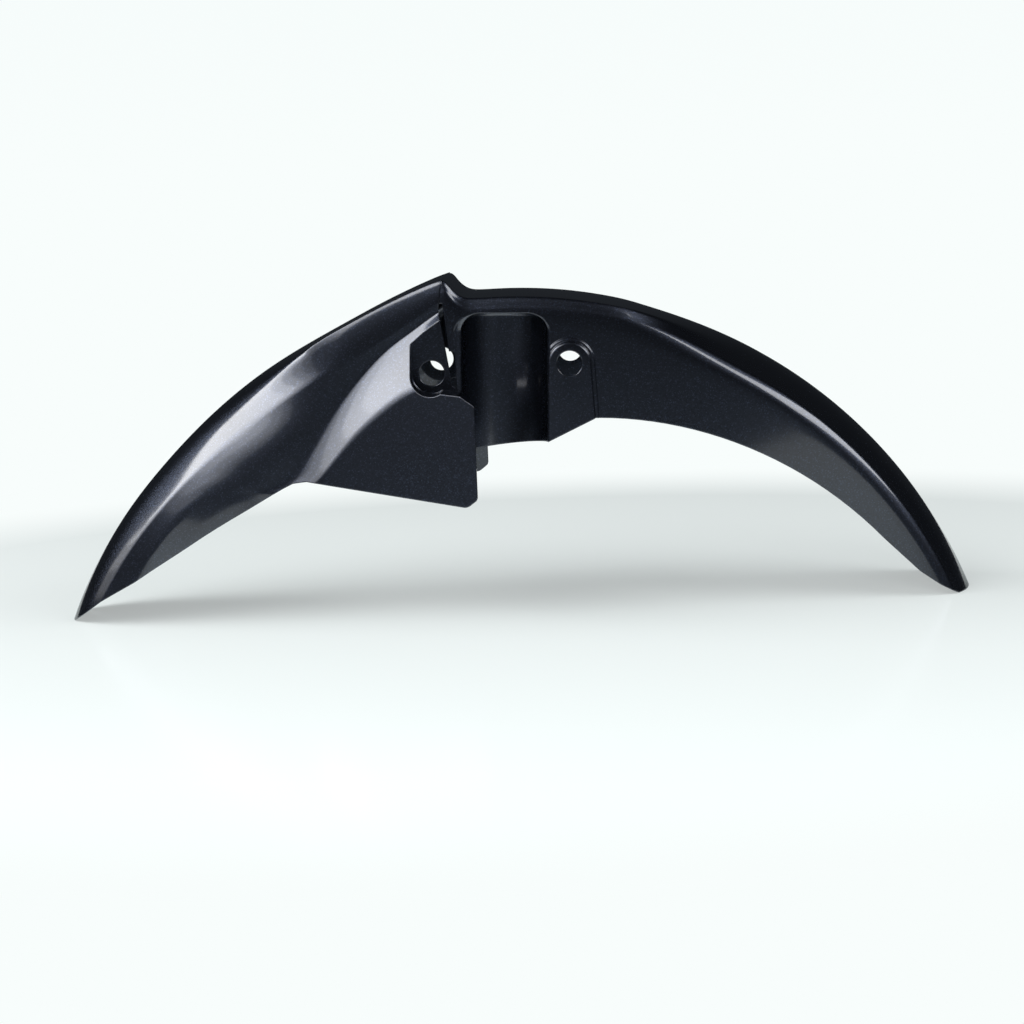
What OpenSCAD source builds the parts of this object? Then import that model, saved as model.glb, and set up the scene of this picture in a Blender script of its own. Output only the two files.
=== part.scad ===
// Front mudguard of a commuter motorcycle: one injection-moulded plastic shell.
// +X points to the rear of the motorcycle and +Z up. The shell stands on its two tongues.
// Sections lie in planes through the wheel's axle, at an angle counted from the vertical,
// negative to the front. In a section, u runs sideways and r is the distance from the axle.

/* [Arch] */
// Radius of the crown above the wheel's axle
crown_r = 347; // [330:1:365]
// Angle from the top of the arch to the end of the rear tongue
rear_sweep = 68.9; // [64:0.1:73]
// Wall of the moulding
wall = 2.8; // [2:0.1:3.6]
// Half width across the side walls
half_w = 70; // [66:0.5:72]
// Half width at the end of the tongues
tongue_half_w = 62; // [54:0.5:66]
// Length of the slanted end of a tongue
tongue_cut = 36; // [30:0.5:42]

/* [Hood] */
// Height of the hood's crest above the crown
crest_rise = 18; // [12:0.5:24]
// Angle of the crest in front of the top of the arch
crest_angle = 7; // [6:0.1:8]
// Half width of the hood's flat top
hood_half_w = 68.5; // [65:0.5:70]
// Depth of the crease on the hood's shoulder below the crown
crease_drop = 23; // [19:0.5:27]

/* [Wing] */
// Half width at the wing's rear lower corner
wing_half_w = 117; // [108:0.5:124]
// Outward slope of the wing to the rear, side travel over length
wing_flare = 0.31; // [0.26:0.01:0.34]
// Wing's rear lower corner, below the crown
wing_low_drop = 135.1; // [130:0.1:140]
// Place of the wing's rear edge in front of the axle
wing_rear_x = 24; // [20:0.5:28]
// Top of the wing's rear edge, below the crown
wing_top_drop = 71.1; // [67:0.1:75]
// Length of the wing's lower edge
wing_len = 112; // [104:1:118]

/* [Fork mount] */
// Half distance between the outer faces of the bolting pads
pad_half_w = 74; // [72.5:0.5:76]
// Distance between the two holes of one side
hole_span = 96; // [92:0.5:100]
// Diameter of a hole
hole_d = 17.5; // [14:0.5:19]
// Front hole below the crown
hole_drop = 50.3; // [47:0.1:53]
// Height of the rear hole above the front one
hole_rise = 3.1; // [0:0.1:5]
// Place of the front hole in front of the axle
front_hole_x = 53.9; // [52:0.1:56]
// Plastic around a hole, on the pad
pad_rim = 6.6; // [5:0.1:7.5]

/* [Fork recess] */
// Radius of the hollow for the fork leg
fork_r = 30.5; // [28:0.5:31.5]
// Place of the fork leg's axis in front of the axle, at the height of the holes
fork_x = 3.6; // [2:0.1:5]
// Backward lean of the fork leg
fork_lean = 2.3; // [0:0.1:5]
// Top of the hollow below the crown
fork_top_drop = 11; // [8:0.5:16]
// Lower edge of the hollow below the crown
recess_drop = 105.1; // [98:0.1:110]

/* [Side walls] */
// Depth of the side wall below the crown, at the rear bolting pad
side_depth = 79.7; // [75:0.1:85]
// Loss of that depth for each degree to the rear
side_low_gain = 0.9; // [0.8:0.01:1]

/* [Hidden] */
$fn = 64;

paint = [0.10, 0.11, 0.14];
hub_z = crown_r * cos(rear_sweep);
front_tip_r = crown_r + 2.5;
front_sweep = acos(hub_z / front_tip_r);
hub_x = (front_tip_r * sin(front_sweep) - crown_r * sin(rear_sweep)) / 2;
crest_r = crown_r + crest_rise;
crown_top = crown_r - hub_z;
wing_low_z = crown_top - wing_low_drop;
wing_top_z = crown_top - wing_top_drop;
hole_z = crown_top - hole_drop;
recess_low_z = crown_top - recess_drop;
side_low_r = crown_r - side_depth;
flat_top_w = hood_half_w;
rear_hole_x = front_hole_x - sqrt(hole_span * hole_span - hole_rise * hole_rise);
wing_chamfer = 7.5;
reach = wing_half_w + 33;
pocket_end = 300;
pad_lean = 4;

// A point on the side view, from its angle and its distance to the axle.
function side_point(a, r) = [hub_x + r * sin(a), r * cos(a) - hub_z];
function side_angle(p) = atan2(p[0] - hub_x, p[1] + hub_z);
function side_r(p) = norm([p[0] - hub_x, p[1] + hub_z]);

// Smooth step from 0 to 1 between two values.
function ease(x, lo, hi) = let (k = max(0, min(1, (x - lo) / (hi - lo)))) k * k * (3 - 2 * k);

// Smooth curve through a few [x, y] points, flat beyond both ends.
function slope_at(p, i) =
    i == 0 ? (p[1][1] - p[0][1]) / (p[1][0] - p[0][0])
    : i == len(p) - 1 ? (p[i][1] - p[i - 1][1]) / (p[i][0] - p[i - 1][0])
    : (p[i + 1][1] - p[i - 1][1]) / (p[i + 1][0] - p[i - 1][0]);
function span_of(x, p, i = 0) = i >= len(p) - 2 || x < p[i + 1][0] ? i : span_of(x, p, i + 1);
function curve(x, p) =
    x <= p[0][0] ? p[0][1]
    : x >= p[len(p) - 1][0] ? p[len(p) - 1][1]
    : let (i = span_of(x, p), h = p[i + 1][0] - p[i][0], k = (x - p[i][0]) / h)
        (2 * k * k * k - 3 * k * k + 1) * p[i][1] + (k * k * k - 2 * k * k + k) * h * slope_at(p, i)
        + (3 * k * k - 2 * k * k * k) * p[i + 1][1] + (k * k * k - k * k) * h * slope_at(p, i + 1);

// Moves a half section inwards by t, square to its own line.
function unit(v) = v / max(norm(v), 0.001);
function inward(a, b) = let (d = unit(b - a)) [d[1], -d[0]];
function inset_point(s, i, t) =
    let (
        n1 = i == 0 ? [0, -1] : inward(s[i - 1], s[i]),
        n2 = i == len(s) - 1 ? n1 : i == 0 ? [0, -1] : inward(s[i], s[i + 1]),
        n = unit(n1 + n2)
    ) s[i] + n * t / max(0.75, n * n1);
function inset(s, t) = t == 0 ? s : [for (i = [0:len(s) - 1]) inset_point(s, i, t)];

// A half section as [u, r], mirrored into a row of 3-D points from one side to the other.
function row(a, s) = concat(
    [for (i = [len(s) - 1:-1:1]) let (p = side_point(a, s[i][1])) [p[0], -s[i][0], p[1]]],
    [for (i = [0:len(s) - 1]) let (p = side_point(a, s[i][1])) [p[0], s[i][0], p[1]]]
);
function backwards(r) = [for (i = [len(r) - 1:-1:0]) r[i]];

// Shell through closed rings; each ring holds an outer row and the inner row backwards.
module loft(rings) {
    m = len(rings[0]);
    last = (len(rings) - 1) * m;
    cap = [for (k = [0:m / 2 - 2]) each [[k, m - 1 - k, m - 2 - k], [k, m - 2 - k, k + 1]]];
    polyhedron(
        points = [for (r = rings) each r],
        faces = concat(
            [for (i = [0:len(rings) - 2], k = [0:m - 1])
                let (a = i * m + k, b = i * m + (k + 1) % m) each [[a, b, b + m], [a, b + m, a + m]]],
            cap,
            [for (f = cap) [f[0] + last, f[2] + last, f[1] + last]]
        )
    );
}

// Plate outline in the side view, as a prism right through the shell.
module side_prism(points, y0 = -reach, y1 = reach) {
    translate([0, y1, 0]) rotate([90, 0, 0]) linear_extrude(y1 - y0) polygon(points);
}

module both_sides() {
    children();
    mirror([0, 1, 0]) children();
}

// Height of the hood's crown, with the straight rise to the crest.
function hood_crown(b) = crown_r + curve(b, [
    [crest_angle, crest_rise], [14, crest_rise * 0.52], [21, crest_rise * 0.17],
    [31, 0.5], [45, -1.5], [57, 0.5], [69, front_tip_r - crown_r]
]);

// The wing's flat facet: half width at a point of the side view.
function facet_w(p) = wing_half_w + wing_flare * (p[0] - hub_x + wing_rear_x) - 0.06 * (p[1] - wing_low_z);

// Half section of the hood, b degrees in front of the top of the arch.
function hood_section(b) = let (
    top = hood_crown(b),
    box = 1 - ease(b, 20, 35),
    tip = ease(b, 44, 66),
    w = half_w + (tongue_half_w - half_w) * tip,
    u1 = box * flat_top_w + (1 - box) * 40,
    v1 = 1 + 7.5 * (1 - box),
    u2 = box * (half_w + 0.5) + (1 - box) * (w - 7.5),
    v2 = curve(b, [
        [crest_angle, crease_drop - 9], [14, crease_drop - 1], [30, crease_drop + 1],
        [50, crease_drop - 2], [66, crease_drop - 4]
    ]),
    valley_r = min(top - v2 - 7, crown_r + curve(b, [
        [8, 1], [11.8, -14], [15.4, -23], [19.5, -35], [24.5, -50], [28, -60.5], [34.8, -75.5], [60, -95]
    ])),
    mid_r = min(valley_r - 5, crown_r + curve(b, [
        [8, -5], [12, -22.8], [16, -33.5], [20, -44.5], [24.5, -57], [28, -66], [34.8, -80], [60, -100]
    ])),
    ridge_r = crown_r + curve(b, [
        [5, -47], [13.3, -50.6], [17.3, -57.5], [21.9, -66], [27.2, -77], [31.5, -85], [36, -95], [60, -118]
    ]),
    flare = 1 - ease(b, 35, 56),
    ridge_w = w + flare * max(facet_w(side_point(-b, ridge_r)) - w, 0.5),
    low_r = crown_r - 150,
    low_w = w + flare * max(facet_w(side_point(-b, low_r)) - w, 0.6),
    mid_w = w + max(flare * curve(b, [[5, 4], [12, 4], [24, 3.4], [36, 1.5]]), 0.3)
) [
    [0, top],
    for (k = [1:4]) [u1 * k / 4, top - v1 * k * k / 16],
    [(u1 * 0.5 + u2 * 0.5) + 0.6, top - v1 * 0.5 - v2 * 0.5],
    [u2, top - v2],
    for (k = [0.2, 0.5, 0.8]) let (r2 = top - v2, bow = sin(90 * min(1, k * (r2 - valley_r) / 24)))
        [u2 + (w - u2) * (box * k + (1 - box) * bow), r2 + (valley_r - r2) * k],
    [w + 0.1, valley_r],
    [mid_w, mid_r],
    [(mid_w * 0.42 + ridge_w * 0.58) - 1.4 * flare, (mid_r + ridge_r) / 2],
    [ridge_w, ridge_r],
    [low_w, low_r]
];

// Half section of the middle and the rear, a degrees behind the top of the arch.
function body_section(a) = let (
    top = crown_r + curve(a, [
        [-8.2, crest_rise - 3], [-7, crest_rise - 0.7], [-6.6, crest_rise - 2.8], [-6, 8.5],
        [-5, 3.4], [-3.6, 1.8], [0, 1.4], [14, 0.2], [20, 0]
    ]),
    box = 1 - ease(a, 12, 30),
    tip = ease(a, 30, 66),
    w = half_w + (tongue_half_w - half_w) * tip,
    u1 = box * (hood_half_w - 1.5) + (1 - box) * 40,
    v1 = 0.8 + 5.5 * (1 - box),
    u2 = box * (hood_half_w + 0.3) + (1 - box) * (w - 8),
    v2 = box * 7 + (1 - box) * 13.5
) [
    [0, top],
    for (k = [1:4]) [u1 * k / 4, top - v1 * k * k / 16],
    [(u1 + u2) / 2 + 0.3 + 0.2 * (1 - box), top - (v1 + v2) / 2],
    [u2, top - v2],
    for (k = [25, 50, 75]) [u2 + (w - u2) * sin(k), top - v2 - (1 - cos(k)) * (11 + 5 * box)],
    [w, top - v2 - 13 - 6 * box],
    [w + 0.6, crown_r - 110]
];

hood_angles = [73, for (b = [70:-3.5:42]) b, for (b = [39:-2.7:12]) b, 10.4, 9, 7.8, 6.6, 5];
body_angles = [
    -8.2, -7.6, -7, -6.6, -6.3, -6, -5.5, -5, -4.3, -3.6, -2, 0, 5, 10,
    for (a = [13:3:43]) a, for (a = [46:3.4:70]) a, 73
];

// The hood's skin, wall thick; or the solid inside it, t under its outside.
module hood_skin() {
    loft([for (b = hood_angles) let (s = hood_section(b))
        concat(row(-b, s), backwards(row(-b, inset(s, wall))))]);
}
module hood_core(t) {
    loft([for (b = [20, 17, 14.7, 12, 10.4, 9, 7.8, 6.6, 4.5])
        let (s = inset(hood_section(b), t), n = len(s) - 1)
            concat(row(-b, s), backwards(row(-b, [for (i = [0:n]) [s[n][0] * 0.9 * i / n, crown_r - 165]])))]);
}

// The skin of the middle and the rear; its inside is moved to the front under the crest.
module body_skin() {
    loft([for (a = body_angles) let (shift = a < -4 ? -0.4 : 0)
        concat(row(a, body_section(a)), backwards(row(a + shift, inset(body_section(a), wall))))]);
}

// Place of a bolting hole on the side view.
front_hole = [hub_x - front_hole_x, hole_z];
rear_hole = [hub_x - rear_hole_x, hole_z + hole_rise];
pad_r = hole_d / 2 + pad_rim;

function arc(c, r, a0, a1, n) = [for (i = [0:n]) let (a = a0 + (a1 - a0) * i / n) c + r * [cos(a), sin(a)]];

// Outline of the pocket that holds the front pad, open to the rear, grown by g.
function front_pad(g) = concat(
    [front_hole + [30, 56 + g], front_hole + [1, 52 + g], front_hole + [-pad_r + 1.3 - g, 21 + g]],
    arc(front_hole, pad_r - 1.3 + g, 180, pocket_end, 10),
    [front_hole + [30, -pad_r - g * 1.2]]
);

// Outline of the raised rear pad, shrunk by g.
function rear_pad(g) = concat(
    [rear_hole + [-pad_r - 3.5 + g, -70]],
    arc(rear_hole, pad_r - g, 180 + pad_lean, 0, 14),
    [rear_hole + [pad_r + 1.5 - g, -38.5 - 4], rear_hole + [pad_r + 2.2 - g, -70]]
);

// Hollow for the fork leg, with a rounded top, grown by g.
module fork_hollow(g) {
    r = fork_r + g;
    top = hole_drop - fork_top_drop + g;
    bend = 14 + g;
    translate([hub_x - fork_x, -pad_half_w, hole_z]) rotate([0, fork_lean, 0]) rotate_extrude() polygon(concat(
        [[0, -90], [r, -90]], arc([r - bend, top - bend], bend, 0, 90, 8), [[0, top]]
    ));
}

// Side view of the hood, with the wing.
wing_corner = [hub_x - wing_rear_x, wing_low_z];
wing_front = wing_corner + [-wing_len, 11.3];
front_foot = side_point(-front_sweep, front_tip_r);
hood_low = [for (b = [34.8, 38.1, 42.7, 47.3, 51.7, 56, 60]) side_point(-b, crown_r + curve(b, [
    [34.8, -75.5], [42.7, -68.2], [51.7, -54], [56, -44.6], [60, -34]
]))];
hood_outline = concat(
    [
        side_point(-crest_angle, crest_r + 60), side_point(-crest_angle, crest_r),
        side_point(-8, crown_r - 4), side_point(-7.9, crown_r - 57),
        [wing_corner[0], wing_top_z], wing_corner, wing_corner + [-wing_chamfer, -wing_chamfer * 0.75],
        wing_front, wing_front + [-9, 1]
    ],
    hood_low,
    [front_foot + [tongue_cut, tongue_cut * 0.59], front_foot + [tongue_cut * 0.8, tongue_cut * 0.48],
        front_foot + [4, 0], front_foot + [-80, 0]],
    [for (b = [60:-10:20]) side_point(-b, crest_r + 60)]
);

// Side view of the middle and the rear, in front up to the slot behind the hood's pad.
slot_x = hub_x - fork_x - fork_r - wall - 0.6;
tab_x = rear_hole[0] - pad_r - 2.2;
side_start = 12.7;
rear_foot = side_point(rear_sweep, crown_r);
body_outline = concat(
    [
        side_point(-8, crest_r + 60), side_point(-8, crown_r + 1), side_point(-7.4, crown_r + 0.5),
        [slot_x, crown_top - 7], [slot_x, recess_low_z - 2],
        [tab_x, recess_low_z + 3.3], side_point(side_start, side_low_r)
    ],
    [for (a = [17:4.1:58]) side_point(a, side_low_r + side_low_gain * (a - side_start))],
    [rear_foot + [-1.15 * tongue_cut, tongue_cut / 2], rear_foot + [-0.76 * tongue_cut, 0.22 * tongue_cut],
        rear_foot + [-0.37 * tongue_cut, 0], rear_foot + [80, 0]],
    [for (a = [60:-15:0]) side_point(a, crest_r + 60)]
);

// Hood and wings: flat top, crease, flared wings and the sunk front pads.
module hood() {
    intersection() {
        difference() {
            union() {
                hood_skin();
                intersection() {
                    both_sides() side_prism(front_pad(wall), -reach, -pad_half_w + wall);
                    hood_core(wall * 0.45);
                }
            }
            both_sides() side_prism(front_pad(0), -reach, -pad_half_w);
        }
        side_prism(hood_outline);
    }
}

// Middle and rear: fork hollows, raised rear pads, side walls and rear tongue.
module body() {
    intersection() {
        difference() {
            union() {
                difference() {
                    union() {
                        body_skin();
                        both_sides() side_prism(rear_pad(0), -pad_half_w, -half_w + wall * 0.8);
                    }
                    both_sides() side_prism(rear_pad(wall), -pad_half_w + wall, -half_w + 4 * wall);
                }
                intersection() {
                    both_sides() fork_hollow(wall);
                    cube([4 * reach, 2 * half_w - wall, 4 * reach], center = true);
                }
            }
            both_sides() fork_hollow(0);
        }
        side_prism(body_outline);
    }
}

module bolt_holes() {
    for (c = [front_hole, rear_hole])
        translate([c[0], 0, c[1]]) rotate([90, 0, 0]) cylinder(d = hole_d, h = 2 * reach, center = true);
}

module mudguard() {
    color(paint) difference() {
        union() {
            hood();
            body();
        }
        bolt_holes();
    }
}

mudguard();
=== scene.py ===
import math

import bmesh
import bpy
from mathutils import Matrix, Vector


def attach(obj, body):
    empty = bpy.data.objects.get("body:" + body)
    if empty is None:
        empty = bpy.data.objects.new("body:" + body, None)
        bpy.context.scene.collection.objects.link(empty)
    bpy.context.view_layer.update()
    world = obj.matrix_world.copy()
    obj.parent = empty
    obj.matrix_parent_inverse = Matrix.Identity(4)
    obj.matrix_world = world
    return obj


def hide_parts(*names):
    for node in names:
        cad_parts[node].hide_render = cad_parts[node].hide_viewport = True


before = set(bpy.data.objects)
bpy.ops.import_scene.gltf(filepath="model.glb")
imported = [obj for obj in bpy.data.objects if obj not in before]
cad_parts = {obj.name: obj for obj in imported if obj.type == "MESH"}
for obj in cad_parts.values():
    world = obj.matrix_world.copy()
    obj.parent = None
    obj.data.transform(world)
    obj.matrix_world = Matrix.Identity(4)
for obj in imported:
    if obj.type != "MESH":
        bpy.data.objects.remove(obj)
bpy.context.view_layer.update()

# Paint
# The moulding is ABS, sprayed dark blue with fine metal flake and covered with clear lacquer. The eye gets a
# near-black body, a cold sheen where a lamp is, and the gloss of a slightly soft mirror.
FLAKE_MM = 0.7  # real flake is about 0.05 mm; drawn this coarse so that it shows
FLAKE_TINTS = (0.0, "#2a2d34"), (0.85, "#30343e"), (1.0, "#3e4555")  # a few flakes are lighter and bluer
ORANGE_PEEL_MM = 4.0  # the lacquer's faint waves
EDGE_SOFTNESS_MM = 1.1  # the mould eases its edges by about this much, and they show as thin bright lines


def linear(hex_colour):
    """An sRGB hex colour as the linear values that a shader takes."""
    parts = [int(hex_colour[i:i + 2], 16) / 255 for i in (1, 3, 5)]
    return [c / 12.92 if c <= 0.04045 else ((c + 0.055) / 1.055) ** 2.4 for c in parts] + [1]


def add_node(tree, kind, settings=(), stops=(), **inputs):
    """Adds a shader node; an input is a value or another node's output, and stops are a ramp's colours."""
    node = tree.nodes.new(kind)
    for name, value in dict(settings).items():
        setattr(node, name, value)
    while stops and len(node.color_ramp.elements) < len(stops):
        node.color_ramp.elements.new(0.5)
    for k, (position, colour) in enumerate(stops):
        node.color_ramp.elements[k].position = position
        node.color_ramp.elements[k].color = linear(colour)
    for name, value in inputs.items():
        socket = node.inputs[int(name[1:]) if name[0] == "_" else name.replace("_", " ")]
        if isinstance(value, bpy.types.NodeSocket):
            tree.links.new(value, socket)
        else:
            socket.default_value = value
    return node


def new_material(name):
    """An empty node material, with its output node."""
    material = bpy.data.materials.new(name)
    material.use_nodes = True
    material.node_tree.nodes.clear()
    return material, material.node_tree, material.node_tree.nodes.new("ShaderNodeOutputMaterial")


paint, tree, out = new_material("flake paint under clear lacquer")
place = add_node(tree, "ShaderNodeTexCoord").outputs["Object"]
edge = add_node(tree, "ShaderNodeBevel", {"samples": 6}, Radius=EDGE_SOFTNESS_MM / 1000).outputs["Normal"]
flake = add_node(tree, "ShaderNodeTexVoronoi", {"feature": "F1"}, Vector=place, Scale=1000 / FLAKE_MM)
flake_share = add_node(tree, "ShaderNodeSeparateColor", {}, Color=flake.outputs["Color"])
flake_tint = add_node(tree, "ShaderNodeValToRGB", stops=FLAKE_TINTS,
                      Fac=flake_share.outputs[0]).outputs["Color"]
flake_bump = add_node(tree, "ShaderNodeBump", {}, Strength=0.07, Distance=0.0002,
                      Height=flake_share.outputs[1], Normal=edge)
peel = add_node(tree, "ShaderNodeTexNoise", {}, Vector=place, Scale=1000 / ORANGE_PEEL_MM, Detail=1.0)
peel_bump = add_node(tree, "ShaderNodeBump", {}, Strength=0.02, Distance=0.0004,
                     Height=peel.outputs["Fac"], Normal=edge)
flakes = add_node(tree, "ShaderNodeBsdfAnisotropic", {"distribution": "BECKMANN"}, Color=flake_tint,
                  Roughness=0.38, Normal=flake_bump.outputs["Normal"])
lacquer = add_node(tree, "ShaderNodeBsdfPrincipled", {}, Base_Color=linear("#06070a"), Roughness=0.6,
                   Normal=edge, Coat_Normal=peel_bump.outputs["Normal"])
lacquer.inputs["Specular IOR Level"].default_value = 0.0
lacquer.inputs["Coat Weight"].default_value = 1.0
lacquer.inputs["Coat Roughness"].default_value = 0.10
lacquer.inputs["Coat IOR"].default_value = 1.55
both = add_node(tree, "ShaderNodeAddShader", {}, _0=flakes.outputs["BSDF"], _1=lacquer.outputs["BSDF"])
tree.links.new(both.outputs["Shader"], out.inputs["Surface"])


# Hood with wings
# The front half: a crested flat-topped hood that runs down into the front tongue, and flared wings at its
# sides. It is part of one injection moulding, 2.8 mm thick, with edges eased by the mould.
# Lengths are in millimetres and angles in degrees. The side view is laid out round the wheel's axle.
MM = 0.001
WALL = 2.8
CROWN_R = 347.0
REAR_SWEEP = 68.9
FRONT_TIP_R = CROWN_R + 2.5
HUB_Z = CROWN_R * math.cos(math.radians(REAR_SWEEP))
FRONT_SWEEP = math.degrees(math.acos(HUB_Z / FRONT_TIP_R))
HUB_X = (FRONT_TIP_R * math.sin(math.radians(FRONT_SWEEP)) - CROWN_R * math.sin(math.radians(REAR_SWEEP))) / 2
HALF_W, TONGUE_HALF_W, FLAT_TOP_W = 70.0, 62.0, 68.5
TONGUE_CUT = 36.0
CREST_RISE, CREST_ANGLE, CREASE_DROP = 18.0, 7.0, 23.0
CROWN_TOP = CROWN_R - HUB_Z
WING_HALF_W, WING_FLARE, WING_REAR_X, WING_LEN = 117.0, 0.31, 24.0, 112.0
WING_LOW_Z, WING_TOP_Z = CROWN_TOP - 135.1, CROWN_TOP - 71.1


def side_point(angle, r):
    """A point of the side view from its angle (to the rear) and its distance to the wheel's axle."""
    return HUB_X + r * math.sin(math.radians(angle)), r * math.cos(math.radians(angle)) - HUB_Z


def ease(x, lo, hi):
    """A smooth step from 0 at lo to 1 at hi."""
    k = max(0.0, min(1.0, (x - lo) / (hi - lo)))
    return k * k * (3 - 2 * k)


def curve(x, points):
    """Smooth curve through a few (x, y) points, flat beyond both ends."""
    if x <= points[0][0]:
        return points[0][1]
    if x >= points[-1][0]:
        return points[-1][1]
    i = max(k for k in range(len(points) - 1) if x >= points[k][0])

    def slope(k):
        """The curve's slope at point k, from its neighbours."""
        a, b = points[max(k - 1, 0)], points[min(k + 1, len(points) - 1)]
        return (b[1] - a[1]) / (b[0] - a[0])
    h = points[i + 1][0] - points[i][0]
    k = (x - points[i][0]) / h
    return ((2 * k ** 3 - 3 * k ** 2 + 1) * points[i][1] + (k ** 3 - 2 * k ** 2 + k) * h * slope(i)
            + (3 * k ** 2 - 2 * k ** 3) * points[i + 1][1] + (k ** 3 - k ** 2) * h * slope(i + 1))


def straight(x, points):
    """Straight lines through (x, y) points in either order of x, flat beyond both ends."""
    points = sorted(points)
    if x <= points[0][0]:
        return points[0][1]
    for a, b in zip(points, points[1:]):
        if x <= b[0]:
            return a[1] + (b[1] - a[1]) * (x - a[0]) / max(b[0] - a[0], 1e-6)
    return points[-1][1]


def facet_w(x, z):
    """Half width of the wing's flat facet."""
    return WING_HALF_W + WING_FLARE * (x - HUB_X + WING_REAR_X) - 0.06 * (z - WING_LOW_Z)


def hood_section(b):
    """Half section of the hood at b degrees in front of the top: points (u sideways, r from the axle)."""
    top = CROWN_R + curve(b, [(CREST_ANGLE, CREST_RISE), (14, CREST_RISE * 0.52), (21, CREST_RISE * 0.17),
                              (31, 0.5), (45, -1.5), (57, 0.5), (69, 2.5)])
    box, tip = 1 - ease(b, 20, 35), ease(b, 44, 66)
    w = HALF_W + (TONGUE_HALF_W - HALF_W) * tip
    u1, v1 = box * FLAT_TOP_W + (1 - box) * 40, 1 + 7.5 * (1 - box)
    u2 = box * (HALF_W + 0.5) + (1 - box) * (w - 7.5)
    v2 = curve(b, [(CREST_ANGLE, CREASE_DROP - 9), (14, CREASE_DROP - 1), (30, CREASE_DROP + 1),
                   (50, CREASE_DROP - 2), (66, CREASE_DROP - 4)])
    r2 = top - v2
    valley_r = min(r2 - 7, CROWN_R + curve(b, [(8, 1), (11.8, -14), (15.4, -23), (19.5, -35), (24.5, -50),
                                               (28, -60.5), (34.8, -75.5), (60, -95)]))
    mid_r = min(valley_r - 5, CROWN_R + curve(b, [(8, -5), (12, -22.8), (16, -33.5), (20, -44.5), (24.5, -57),
                                                  (28, -66), (34.8, -80), (60, -100)]))
    ridge_r = CROWN_R + curve(b, [(5, -47), (13.3, -50.6), (17.3, -57.5), (21.9, -66), (27.2, -77),
                                  (31.5, -85), (36, -95), (60, -118)])
    flare = 1 - ease(b, 35, 56)
    ridge_w = w + flare * max(facet_w(*side_point(-b, ridge_r)) - w, 0.5)
    low_r = CROWN_R - 150
    low_w = w + flare * max(facet_w(*side_point(-b, low_r)) - w, 0.6)
    mid_w = w + max(flare * curve(b, [(5, 4), (12, 4), (24, 3.4), (36, 1.5)]), 0.3)
    points = [(0, top)] + [(u1 * k / 4, top - v1 * k * k / 16) for k in range(1, 5)]
    points += [((u1 + u2) / 2 + 0.6, top - (v1 + v2) / 2), (u2, r2)]
    for k in (0.2, 0.5, 0.8):
        bow = math.sin(math.radians(90 * min(1, k * (r2 - valley_r) / 24)))
        points.append((u2 + (w - u2) * (box * k + (1 - box) * bow), r2 + (valley_r - r2) * k))
    points += [(w + 0.1, valley_r), (mid_w, mid_r),
               (mid_w * 0.42 + ridge_w * 0.58 - 1.4 * flare, (mid_r + ridge_r) / 2),
               (ridge_w, ridge_r), (low_w, low_r)]
    return points


def eased(corner, before, after, r, steps=5):
    """A corner of an outline, rounded: a curve from r before it to r after it."""
    c = Vector(corner)
    a, b = c + (Vector(before) - c).normalized() * r, c + (Vector(after) - c).normalized() * r
    return [tuple(a.lerp(c, k / steps).lerp(c.lerp(b, k / steps), k / steps)) for k in range(steps + 1)]


WING_CHAMFER = 7.5
PAST_TOP, PAST_TIP = 60, 80  # how far an outline runs beyond the skin that it trims
wing_corner = (HUB_X - WING_REAR_X, WING_LOW_Z)
wing_front = (wing_corner[0] - WING_LEN, wing_corner[1] + 11.3)
front_foot = side_point(-FRONT_SWEEP, FRONT_TIP_R)
FRONT_LOW_EDGE = [(34.8, -75.5), (42.7, -68.2), (51.7, -54), (56, -44.6), (60, -34)]
front_low = [side_point(-b, CROWN_R + curve(b, FRONT_LOW_EDGE))
             for b in (34.8, 36.5, 38.1, 40.4, 42.7, 45, 47.3, 49.5, 51.7, 54, 56, 58, 60)]
wing_heel = (wing_corner[0] - WING_CHAMFER, wing_corner[1] - WING_CHAMFER * 0.75)
wing_top = (wing_corner[0], WING_TOP_Z)
slot_top, slot_low = side_point(-8, CROWN_R - 4), side_point(-7.9, CROWN_R - 57)
hood_outline = [
    side_point(-CREST_ANGLE, CROWN_R + CREST_RISE + PAST_TOP), side_point(-CREST_ANGLE, CROWN_R + CREST_RISE),
    slot_top, slot_low, *eased(wing_top, slot_low, wing_corner, 2),
    *eased(wing_corner, wing_top, wing_heel, 2), *eased(wing_heel, wing_corner, wing_front, 3),
    wing_front, (wing_front[0] - 9, wing_front[1] + 1), *front_low,
    (front_foot[0] + TONGUE_CUT, TONGUE_CUT * 0.59), (front_foot[0] + TONGUE_CUT * 0.8, TONGUE_CUT * 0.48),
    (front_foot[0] + 4, 0), (front_foot[0] - PAST_TIP, 0),
    *[side_point(-b, CROWN_R + PAST_TIP) for b in (60, 50, 40, 30, 20)]]
FACET_ROWS = 6


def hood_rows(b):
    """The half section's points at b, with the last ones spread down past the lower edge."""
    points = hood_section(b)
    low = CROWN_R - straight(b, [(24, 150), (35, 88), (60, 44), (72, 34)])
    side = [(r, u) for u, r in points[6:]]
    radii = [r for u, r in points[7:14]]
    radii += [radii[-1] + (low - radii[-1]) * k / FACET_ROWS for k in range(1, FACET_ROWS + 1)]
    count = len(radii)
    packed = [max(r, low + 0.7 * (count - 1 - i)) for i, r in enumerate(radii)]
    spread = ease(b, 34, 47)
    r2 = points[6][1]
    radii = [p + (r2 + (low - r2) * (i + 1) / count - p) * spread for i, p in enumerate(packed)]
    return points[:7] + [(straight(r, side), r) for r in radii]


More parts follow.
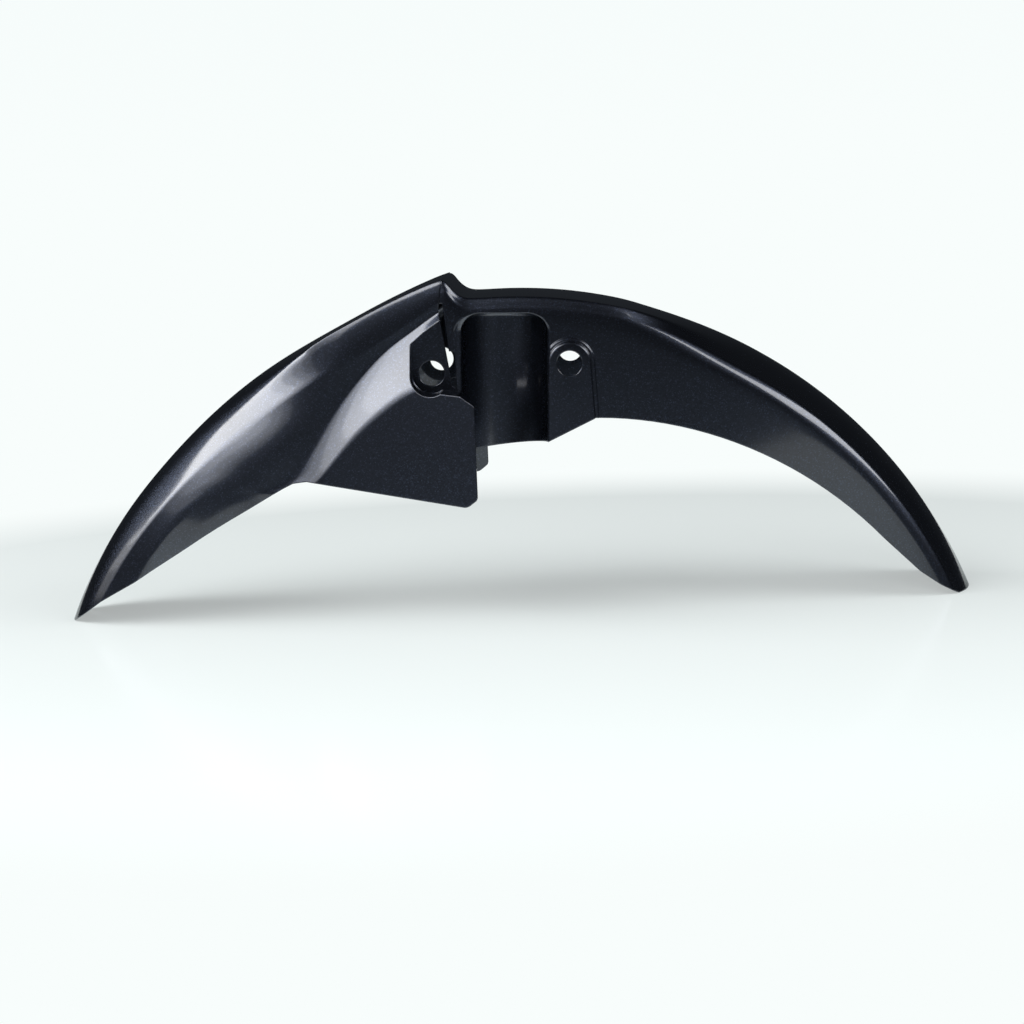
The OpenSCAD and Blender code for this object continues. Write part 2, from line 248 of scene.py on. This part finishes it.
def laid_grid(columns):
    """A grid of faces through columns of points, with each vertex's column and row in it."""
    last, low = len(columns) - 1, len(columns[0]) - 1
    bm = bmesh.new()
    bmesh.ops.create_grid(bm, x_segments=last, y_segments=low, size=1)
    cell = {v: (round((v.co.x + 1) / 2 * last), round((v.co.y + 1) / 2 * low)) for v in bm.verts}
    for v, (i, j) in cell.items():
        v.co = Vector(columns[i][j]) * MM
    return bm, cell


def near_side(angle, section):
    """A half section's (sideways, r) points as places on the near side of the shell."""
    places = [(side_point(angle, r), u) for u, r in section]
    return [(x, -u, z) for (x, z), u in places]


def skin_mesh(angles, section_of, crease_of):
    """Lays a grid over a row of half sections: columns run along the arch, rows run down the side."""
    forward = angles[-1] < 0
    bm, cell = laid_grid([near_side(a, section_of(abs(a) if forward else a)) for a in angles])
    crease = bm.edges.layers.float.new("crease_edge")
    for e in bm.edges:
        (i0, j0), (i1, j1) = cell[e.verts[0]], cell[e.verts[1]]
        if j0 == j1:
            e[crease] = crease_of(j0, abs(angles[i0] + angles[i1]) / 2)
    return bm


def to_object(name, bm):
    """Makes an object of a bmesh, at the origin."""
    mesh = bpy.data.meshes.new(name)
    bm.to_mesh(mesh)
    bm.free()
    made = bpy.data.objects.new(name, mesh)
    bpy.context.scene.collection.objects.link(made)
    return made


def applied(obj):
    """Bakes an object's modifiers into its mesh."""
    bpy.context.view_layer.update()
    mesh = bpy.data.meshes.new_from_object(obj.evaluated_get(bpy.context.evaluated_depsgraph_get()))
    obj.modifiers.clear()
    obj.data = mesh
    return obj


def smooth_skin(obj, levels=2):
    """Mirrors the half skin to the other side and rounds it between its rows."""
    mirror = obj.modifiers.new("other side", "MIRROR")
    mirror.use_axis = (False, True, False)
    mirror.merge_threshold = 0.00005
    rounding = obj.modifiers.new("rounding", "SUBSURF")
    rounding.levels = rounding.render_levels = levels
    return applied(obj)


def thickened(obj):
    """Gives a skin its wall, inwards, which makes it a closed solid."""
    bm = bmesh.new()
    bm.from_mesh(obj.data)
    bmesh.ops.recalc_face_normals(bm, faces=bm.faces)
    highest = max(bm.faces, key=lambda f: f.calc_center_median().z)
    if highest.normal.z < 0:
        bmesh.ops.reverse_faces(bm, faces=bm.faces)
    bm.to_mesh(obj.data)
    bm.free()
    solid = obj.modifiers.new("wall", "SOLIDIFY")
    solid.thickness, solid.offset = WALL * MM, -1
    solid.use_even_offset = True
    solid.use_quality_normals = True
    return applied(obj)


def both_sides(bm):
    """Adds the mirror image on the other side of the motorcycle."""
    bmesh.ops.mirror(bm, geom=bm.verts[:] + bm.edges[:] + bm.faces[:], axis="Y", merge_dist=-1)
    bmesh.ops.recalc_face_normals(bm, faces=bm.faces)
    return bm


def plate(outline, y_out, y_in):
    """A flat plate with the given outline of the side view, between two distances from the middle."""
    bm = bmesh.new()
    face = bm.faces.new([bm.verts.new(Vector((x, -y_out, z)) * MM) for x, z in outline])
    made = bmesh.ops.extrude_face_region(bm, geom=[face])
    bmesh.ops.translate(bm, vec=Vector((0, y_out - y_in, 0)) * MM,
                        verts=[v for v in made["geom"] if isinstance(v, bmesh.types.BMVert)])
    bmesh.ops.recalc_face_normals(bm, faces=bm.faces)
    return bm


def combine(obj, bm, action):
    """Joins a closed mesh to an object, cuts it out of it, or keeps what both have."""
    bmesh.ops.recalc_face_normals(bm, faces=bm.faces)
    tool = to_object("tool", bm)
    step = obj.modifiers.new("step", "BOOLEAN")
    step.operation, step.solver, step.object = action, "MANIFOLD", tool
    applied(obj)
    bpy.data.objects.remove(tool)
    return obj


ACROSS = 150  # half the width of a plate that cuts right across the shell
hood_angles = [-b for b in (4.5, 5.6, 6.7, 7.8, 9, 10.4, 12, 14, 16.3, 18.8, 21.5, 24.5, 28, 31.4, 34.8,
                            *range(38, 75, 3))]


def hood_crease(j, b):
    """How sharp row j stays at b degrees: flat top's edge, upper crease, valley and wing's ridge."""
    if j == 4:
        return 0.75 * (1 - ease(b, 18, 32))
    if j == 6:
        return 0.7
    if j == 10:
        return 0.35 * (1 - ease(b, 30, 36))
    if j == 13:
        return 0.9 * (1 - ease(b, 30, 33))
    return 0


hood = thickened(smooth_skin(to_object("hood", skin_mesh(hood_angles, hood_rows, hood_crease))))
combine(hood, plate(hood_outline, ACROSS, -ACROSS), "INTERSECT")


# Middle and rear
# Behind the crest the skin steps down and runs back over the wheel with near upright side walls, and rounds
# off into the rear tongue. It is the same moulding and the same painted wall as the hood.
FORK_R, FORK_X = 30.5, 3.6
RECESS_LOW_Z = CROWN_TOP - 105.1
HOLE_SPAN, HOLE_D, HOLE_Z, HOLE_RISE, FRONT_HOLE_X, PAD_RIM = 96.0, 17.5, CROWN_TOP - 50.3, 3.1, 53.9, 6.6
SIDE_LOW_R, SIDE_LOW_GAIN, SIDE_START = 267.3, 0.9, 12.7
front_hole = (HUB_X - FRONT_HOLE_X, HOLE_Z)
rear_hole = (front_hole[0] + math.sqrt(HOLE_SPAN ** 2 - HOLE_RISE ** 2), HOLE_Z + HOLE_RISE)
pad_r = HOLE_D / 2 + PAD_RIM
slot_x = HUB_X - FORK_X - FORK_R - WALL - 0.6
tab_x = rear_hole[0] - pad_r - 2.2


def body_section(a):
    """Half section at a degrees behind the top of the arch."""
    step = [(-8.2, CREST_RISE - 3), (-7, CREST_RISE - 0.7), (-6.6, 15.2), (-6, 8.5), (-5, 3.4), (-3.6, 1.8),
            (0, 1.4), (14, 0.2), (20, 0)]
    top = CROWN_R + curve(a, step)
    box, tip = 1 - ease(a, 12, 30), ease(a, 30, 66)
    w = HALF_W + (TONGUE_HALF_W - HALF_W) * tip
    u1, v1 = box * (FLAT_TOP_W - 1.5) + (1 - box) * 40, 0.8 + 5.5 * (1 - box)
    u2, v2 = box * (FLAT_TOP_W + 0.3) + (1 - box) * (w - 8), box * 7 + (1 - box) * 13.5
    points = [(0, top)] + [(u1 * k / 4, top - v1 * k * k / 16) for k in range(1, 5)]
    points += [((u1 + u2) / 2 + 0.3 + 0.2 * (1 - box), top - (v1 + v2) / 2), (u2, top - v2)]
    for k in (25, 50, 75):
        turn = math.radians(k)
        points.append((u2 + (w - u2) * math.sin(turn), top - v2 - (1 - math.cos(turn)) * (11 + 5 * box)))
    return points + [(w, top - v2 - 13 - 6 * box), (w + 0.6, CROWN_R - 110)]


SLOT_DROP = 33.0
rear_foot = side_point(REAR_SWEEP, CROWN_R)
rear_low = [side_point(a, SIDE_LOW_R + SIDE_LOW_GAIN * (a - SIDE_START))
            for a in (SIDE_START, *range(15, 59, 2))]
body_outline = [
    side_point(-8, CROWN_R + CREST_RISE + PAST_TOP), side_point(-8, CROWN_R + 1),
    side_point(-7.4, CROWN_R + 0.5), side_point(-7.6, CROWN_R - SLOT_DROP),
    (slot_x, CROWN_TOP - SLOT_DROP - 3), (slot_x, RECESS_LOW_Z - 2), (tab_x, RECESS_LOW_Z + 3.3), *rear_low,
    (rear_foot[0] - 1.15 * TONGUE_CUT, TONGUE_CUT / 2), (rear_foot[0] - 0.76 * TONGUE_CUT, 0.22 * TONGUE_CUT),
    (rear_foot[0] - 0.37 * TONGUE_CUT, 0), (rear_foot[0] + PAST_TIP, 0),
    *[side_point(a, CROWN_R + PAST_TIP) for a in (60, 45, 30, 15, 0)]]


def body_rows(a):
    """The half section's points at a, with the last ones spread down past the lower edge."""
    points = body_section(a)
    low = CROWN_R - straight(a, [(6, 110), (18, 84), (60, 44), (72, 40)])
    side = [(r, u) for u, r in points[9:]]
    start = points[10][1]
    radii = [start + (low - start) * k / 6 for k in range(1, 7)]
    return points[:11] + [(straight(r, side), r) for r in radii]


body_angles = [-8.2, -7.5, -7, -6.6, -6.2, -5.7, -5.1, -4.4, -3.4, -2, 0, 3, 5.9, 9, 12.7, 15, 18, 21, 24, 27,
               *range(30, 75, 4)]


def body_crease(j, a):
    """How sharp the row j stays at a degrees: the flat top's edge and the side wall's upper edge."""
    if j == 4:
        return 0.7 * (1 - ease(a, 10, 28))
    if j == 6:
        return 0.3 * (1 - ease(a, 40, 60))
    return 0


body = thickened(smooth_skin(to_object("body", skin_mesh(body_angles, body_rows, body_crease))))


# Fork hollows
# An upright hollow in each side lets the fork leg pass close to the wheel. The moulding's wall goes on round
# it at its full thickness, and the mouth is rounded where the hollow meets the side.
PAD_HALF_W = 74.0  # from the middle to the flat of a bolting pad, where the fork leg's axis is too
FORK_LEAN, FORK_TOP_DROP = 2.3, 11.0
HOLLOW_BEND, MOUTH_CORNER = 3.0, 14.0  # the hollow's top edge inside, and the top corners of its mouth
SKIN_OVERLAP = 1.4  # how far an added form goes into the side wall


def arc(cx, cz, r, start, end, steps):
    """Points round part of a circle, from one angle to another."""
    angles = [math.radians(start + (end - start) * i / steps) for i in range(steps + 1)]
    return [(cx + r * math.cos(t), cz + r * math.sin(t)) for t in angles]


def taken_mesh(obj):
    """An object's mesh for a further step; the object itself goes."""
    bm = bmesh.new()
    bm.from_mesh(obj.data)
    bpy.data.objects.remove(obj)
    return bm


def hollow_mesh(grow, low=-90, steps=96):
    """The cylinders round the fork legs, spun about the legs' axes and cut to the hollow's side view."""
    r, bend = FORK_R + grow, HOLLOW_BEND + grow
    top = CROWN_R - HUB_Z - FORK_TOP_DROP + grow - HOLE_Z
    profile = [(0.01, low), (r, low), (r, low / 2), (r, 0), *arc(r - bend, top - bend, bend, 0, 90, 10),
               (0.01, top)]
    bm = bmesh.new()
    verts = [bm.verts.new(Vector((x, 0, z)) * MM) for x, z in profile]
    edges = [bm.edges.new(pair) for pair in zip(verts, verts[1:])]
    bmesh.ops.spin(bm, geom=verts + edges, cent=(0, 0, 0), axis=(0, 0, 1), angle=math.tau, steps=steps,
                   use_merge=True)
    bmesh.ops.remove_doubles(bm, verts=bm.verts, dist=0.00002)
    place = Matrix.Translation(Vector((HUB_X - FORK_X, -PAD_HALF_W, HOLE_Z)) * MM)
    bmesh.ops.transform(bm, matrix=place @ Matrix.Rotation(math.radians(FORK_LEAN), 4, "Y"), verts=bm.verts)
    cylinders = to_object("hollow cylinders", both_sides(bm))
    combine(cylinders, plate(mouth_outline(grow, grow, grow, PAD_HALF_W), ACROSS, -ACROSS), "INTERSECT")
    return taken_mesh(cylinders)


def block(x0, x1, y, z0, z1):
    """A plain block across the shell, to trim with."""
    bm = bmesh.new()
    size = Vector((x1 - x0, 2 * y, z1 - z0)) * MM
    middle = Vector(((x0 + x1) / 2, 0, (z0 + z1) / 2)) * MM
    bmesh.ops.create_cube(bm, size=1, matrix=Matrix.Translation(middle) @ Matrix.Diagonal((*size, 1)))
    return bm


MOUTH_FRONT, MOUTH_REAR, MOUTH_TOP, MOUTH_DEEP = 5.0, 1.8, 0.5, 2.4


def mouth_outline(front, rear, top_gain, y):
    """The hollow's outline at y from the middle, widened to the front, to the rear and at the top."""
    inside, top = PAD_HALF_W - y, CROWN_R - HUB_Z - FORK_TOP_DROP - HOLE_Z
    corner = arc(FORK_R - MOUTH_CORNER, top - MOUTH_CORNER, MOUTH_CORNER, 0, 90, 16)
    profile = [(FORK_R, z) for z in range(-70, 8, 6)] + corner
    quarter = [(math.sqrt(r * r - inside * inside), z) for r, z in profile]
    quarter += [(quarter[-1][0] * k, top) for k in (0.66, 0.33)]
    points = []
    for sign, gain in ((1, rear), (-1, front)):
        half = []
        for x, z in quarter:
            turn = max(0.0, min(1.0, (z - top + MOUTH_CORNER) / MOUTH_CORNER))
            widened = x + gain * math.sqrt(1 - turn * turn) * min(1, x / 10)
            half.append((sign * widened, z + top_gain * turn))
        points += half if sign > 0 else [(0, top + top_gain)] + half[::-1]
    lean = math.radians(FORK_LEAN)
    return [(HUB_X - FORK_X + x * math.cos(lean) + z * math.sin(lean),
             HOLE_Z + z * math.cos(lean) - x * math.sin(lean)) for x, z in points]


def mouth_tool(levels=9):
    """The rounding of the hollow's mouth, extruded from one outline to the next."""
    surface = HALF_W - 0.2
    rings = [(1.0, surface + 3)]
    for k in range(levels):
        deep = MOUTH_DEEP * (1 - math.cos(math.pi / 2 * k / (levels - 1)))
        rings.append((1 - math.sqrt(1 - (1 - deep / MOUTH_DEEP) ** 2), surface - deep))
    outlines = []
    for gain, y in rings:
        outline = mouth_outline(MOUTH_FRONT * gain, MOUTH_REAR * gain, MOUTH_TOP * gain, min(y, surface))
        outlines.append([Vector((x, -y, z)) * MM for x, z in outline])
    bm = bmesh.new()
    cap = bm.faces.new([bm.verts.new(place) for place in outlines[0]])
    for outline in outlines[1:]:
        made = bmesh.ops.extrude_face_region(bm, geom=[cap, *cap.edges])
        cap = next(part for part in made["geom"] if isinstance(part, bmesh.types.BMFace))
        for v, place in zip(cap.verts, outline):
            v.co = place
    return both_sides(bm)


hollows = to_object("hollow walls", hollow_mesh(WALL))
combine(hollows, block(-80, 80, HALF_W - SKIN_OVERLAP, RECESS_LOW_Z - 20, 260), "INTERSECT")
combine(body, taken_mesh(hollows), "UNION")


# Rear bolting pads
# A flat pad is raised from the side wall behind each hollow, with a soft double rim. It is moulded with the
# shell, and one bolt through its hole holds the shell to the fork leg.
def hole_tool(centre, r=HOLE_D / 2, sides=72):
    """A rod across the shell, to bore a hole through both sides."""
    bm = bmesh.new()
    place = Matrix.Translation(Vector((centre[0], 0, centre[1])) * MM) @ Matrix.Rotation(math.pi / 2, 4, "X")
    bmesh.ops.create_cone(bm, cap_ends=True, segments=sides, radius1=r * MM, radius2=r * MM,
                          depth=2 * ACROSS * MM, matrix=place)
    return bm


def rear_pad_outline(g):
    """The rear pad's outline, moved in by g: a round top and straight sides that run down past the edge."""
    low = RECESS_LOW_Z - 18
    left, right = rear_hole[0] - pad_r - 3.5, rear_hole[0] + pad_r + 1.5
    round_top = arc(rear_hole[0], rear_hole[1], pad_r - g, 180, 0, 28)
    return [(left + g, low), *round_top, (right - g + 0.4, RECESS_LOW_Z + 10), (right - g + 0.6, low)]


def rim_edges(bm, y):
    """The edges round a plate's outer face."""
    return [e for e in bm.edges if all(abs(abs(v.co.y) - y * MM) < 1e-6 for v in e.verts)]


for g, height, rounding in ((-2.2, 71.4, 0.9), (0.4, PAD_HALF_W, 1.6)):
    bm = plate(rear_pad_outline(g), height, HALF_W - SKIN_OVERLAP)
    bmesh.ops.bevel(bm, geom=rim_edges(bm, height), offset=rounding * MM, segments=4, profile=0.5,
                    affect="EDGES", material=-1, clamp_overlap=True)
    combine(body, both_sides(bm), "UNION")
combine(body, both_sides(plate(rear_pad_outline(3.0), PAD_HALF_W - WALL, HALF_W - 12)), "DIFFERENCE")
combine(body, hollow_mesh(0), "DIFFERENCE")
combine(body, mouth_tool(), "DIFFERENCE")
combine(body, plate(body_outline, ACROSS, -ACROSS), "INTERSECT")
combine(body, hole_tool(rear_hole), "DIFFERENCE")


# Front bolting pads
# Each wing has a pocket, open to the rear, that sinks to a flat pad. It is moulded with the wing, and a
# second bolt goes through its hole into the fork leg.
BEYOND_WING = 130  # from the middle, a distance past the widest place of the wings


def front_pad_outline(g):
    """The front pad's outline, moved out by g: round in front and below, straight above, open behind."""
    hx, hz = front_hole
    return [(hx + 30, hz + 56 + g), (hx + 1, hz + 52 + g), (hx - pad_r + 1.3 - g, hz + 21 + g)] \
        + arc(hx, hz, pad_r - 1.3 + g, 180, 300, 20) + [(hx + 30, hz - pad_r - g * 1.2)]


def under_skin(deep, y_in=50.0):
    """A closed solid between a side of the hood's skin, moved in by deep, and an upright plane inside."""
    columns = []
    for b in (5.0, 6.0, 7.0, 7.8, 9.0, 10.4, 12.0, 14.0, 16.3, 18.8, 21.5):
        points = hood_section(b)
        side = [(r, u) for u, r in points[6:]]
        top, low = points[6][1], CROWN_R - 100
        radii = [top + (low - top) * k / 15 for k in range(16)]
        columns.append(near_side(-b, [(straight(r, side) - deep, r) for r in radii]))
    bm = laid_grid(columns)[0]
    made = bmesh.ops.extrude_face_region(bm, geom=bm.faces[:])
    for part in made["geom"]:
        if isinstance(part, bmesh.types.BMVert):
            part.co.y = -y_in * MM
    return both_sides(bm)


cups = to_object("pad cups", both_sides(plate(front_pad_outline(WALL), BEYOND_WING, PAD_HALF_W - WALL)))
combine(cups, under_skin(0.4), "INTERSECT")
combine(hood, taken_mesh(cups), "UNION")
combine(hood, both_sides(plate(front_pad_outline(0), BEYOND_WING, PAD_HALF_W)), "DIFFERENCE")
behind_wing = wing_corner[0] + 60
slot = [(slot_top[0] + 1.0, slot_top[1] + 8), slot_top, slot_low,
        wing_top, (behind_wing, WING_TOP_Z), (behind_wing, slot_top[1])]
combine(hood, both_sides(plate(slot, BEYOND_WING, 50)), "DIFFERENCE")
combine(hood, hole_tool(front_hole), "DIFFERENCE")


# One moulding
# The mould gives one piece of ABS: the hood and the middle are one wall, joined where they meet under the
# crest. It is painted all over, and its four bolting holes fix it to the fork.
moulding = combine(hood, taken_mesh(body), "UNION")
moulding.name = "mudguard_moulding"
moulding.data.materials.clear()
moulding.data.materials.append(paint)
for f in moulding.data.polygons:
    f.use_smooth = True
moulding.data.set_sharp_from_angle(angle=math.radians(32))
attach(moulding, "root")
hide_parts("mudguard")


# Floor and light
# A glossy white table stands before a white backdrop, with a wide softbox high on each side. Only the camera
# sees the backdrop: the paint and the table mirror a dark room, and the room's own light is even and weak.
FLOOR_WHITE, HORIZON_WHITE, UPPER_WHITE = "#f2f9f8", "#f8fdfc", "#f0f8f8"
ROOM_LIGHT = "#979e9f"
SHADOW_LIFT = 0.4  # share of plain white that only the camera sees in the table, which keeps the shadow pale
TABLE_HALF_M = 0.62, 0.88  # the table ends not far from the object, so upright walls mirror the dark room
FADE_M = 0.42, 0.84  # between these distances the table turns into the backdrop to the eye

# The table is smooth acrylic sheet, which gives the eye an even white with a soft mirror image in it.
table, tree, out = new_material("white acrylic table")
place = add_node(tree, "ShaderNodeTexCoord").outputs["Object"]
away = add_node(tree, "ShaderNodeVectorMath", {"operation": "LENGTH"}, _0=place).outputs["Value"]
far = add_node(tree, "ShaderNodeMapRange", {"interpolation_type": "SMOOTHSTEP"}, Value=away,
               From_Min=FADE_M[0], From_Max=FADE_M[1])
shade = add_node(tree, "ShaderNodeBsdfPrincipled", {}, Base_Color=linear(FLOOR_WHITE), Roughness=0.16,
                 IOR=1.4)
paper = add_node(tree, "ShaderNodeEmission", {}, Color=linear(HORIZON_WHITE), Strength=1.0)
lifted = add_node(tree, "ShaderNodeMath", {"operation": "MULTIPLY"}, _1=SHADOW_LIFT,
                  _0=add_node(tree, "ShaderNodeLightPath").outputs["Is Camera Ray"])
share = add_node(tree, "ShaderNodeMath", {"operation": "MAXIMUM"}, _0=far.outputs["Result"],
                 _1=lifted.outputs[0])
blend = add_node(tree, "ShaderNodeMixShader", {}, Fac=share.outputs[0], _1=shade.outputs["BSDF"],
                 _2=paper.outputs["Emission"])
tree.links.new(blend.outputs["Shader"], out.inputs["Surface"])
bm = bmesh.new()
bmesh.ops.create_grid(bm, x_segments=1, y_segments=1, size=1, matrix=Matrix.Diagonal((*TABLE_HALF_M, 1, 1)))
floor = to_object("floor", bm)
floor.data.materials.append(table)

world = bpy.data.worlds.new("studio")
bpy.context.scene.world = world
world.use_nodes = True
tree = world.node_tree
tree.nodes.clear()
out = tree.nodes.new("ShaderNodeOutputWorld")
look = add_node(tree, "ShaderNodeTexCoord").outputs["Generated"]
direction = add_node(tree, "ShaderNodeSeparateXYZ", {}, Vector=look)
backdrop = add_node(tree, "ShaderNodeValToRGB", stops=((0.0, HORIZON_WHITE), (0.3, UPPER_WHITE)),
                    Fac=direction.outputs["Z"]).outputs["Color"]
behind = add_node(tree, "ShaderNodeMapRange", {}, Value=direction.outputs["Y"], From_Min=-0.3, From_Max=0.5)
dark_room = add_node(tree, "ShaderNodeValToRGB", stops=((0.0, "#2a2c30"), (1.0, "#25282c")),
                     Fac=behind.outputs["Result"]).outputs["Color"]
ray = add_node(tree, "ShaderNodeLightPath")
lit = add_node(tree, "ShaderNodeMix", {"data_type": "RGBA"}, _0=ray.outputs["Is Diffuse Ray"], _6=dark_room,
               _7=linear(ROOM_LIGHT)).outputs[2]
seen = add_node(tree, "ShaderNodeMix", {"data_type": "RGBA"}, _0=ray.outputs["Is Camera Ray"], _6=lit,
                _7=backdrop).outputs[2]
sky = add_node(tree, "ShaderNodeBackground", {}, Color=seen, Strength=1.0)
tree.links.new(sky.outputs[0], out.inputs[0])


LAMP_AIM, LAMP_DISTANCE_M = Vector((0, 0, 0.15)), 2.2


def softbox(name, azimuth, elevation, size, power):
    """A lamp of (width, height) in metres that faces the object; azimuth counts from +X."""
    a, e = math.radians(azimuth), math.radians(elevation)
    way = Vector((math.cos(a) * math.cos(e), math.sin(a) * math.cos(e), math.sin(e)))
    place = way * LAMP_DISTANCE_M + LAMP_AIM
    lamp = bpy.data.lights.new(name, "AREA")
    lamp.shape, lamp.size, lamp.size_y, lamp.energy = "RECTANGLE", size[0], size[1], power
    made = bpy.data.objects.new(name, lamp)
    made.location = place
    made.rotation_euler = (LAMP_AIM - place).to_track_quat("-Z", "Y").to_euler()
    bpy.context.scene.collection.objects.link(made)


# The left softbox hangs low and fades towards its lower edge, so it is a stack of strips, each with its
# elevation, its height in metres and its power.
LEFT_STRIPS = (42.5, 0.6, 58), (31.5, 0.25, 19), (25.4, 0.22, 9.5), (19.9, 0.2, 4.3), (15, 0.18, 1.7)
for elevation, height, power in LEFT_STRIPS:
    softbox("left softbox", -157, elevation, (4.3, height), power)
softbox("right softbox", -28, 32, (2.2, 0.8), 32)

# The camera stands about 2 m in front and a little above, at the photograph's angle.
camera = bpy.data.objects.new("camera", bpy.data.cameras.new("camera"))
bpy.context.scene.collection.objects.link(camera)
SENSOR_MM, FOCAL_PX, PICTURE_PX = 36, 2850, 1024
camera.data.lens = SENSOR_MM * FOCAL_PX / PICTURE_PX
right = Vector((0.9988, 0.0230, -0.0422)).normalized()
back = Vector((0.0280, -0.9920, 0.1232)).normalized()
up = back.cross(right).normalized()
right = up.cross(back)
stand = Matrix.Translation((0.05484, -2.050, 0.318))
camera.matrix_world = stand @ Matrix((right, up, back)).transposed().to_4x4()
bpy.context.scene.camera = camera
bpy.context.scene.view_settings.view_transform = "Standard"
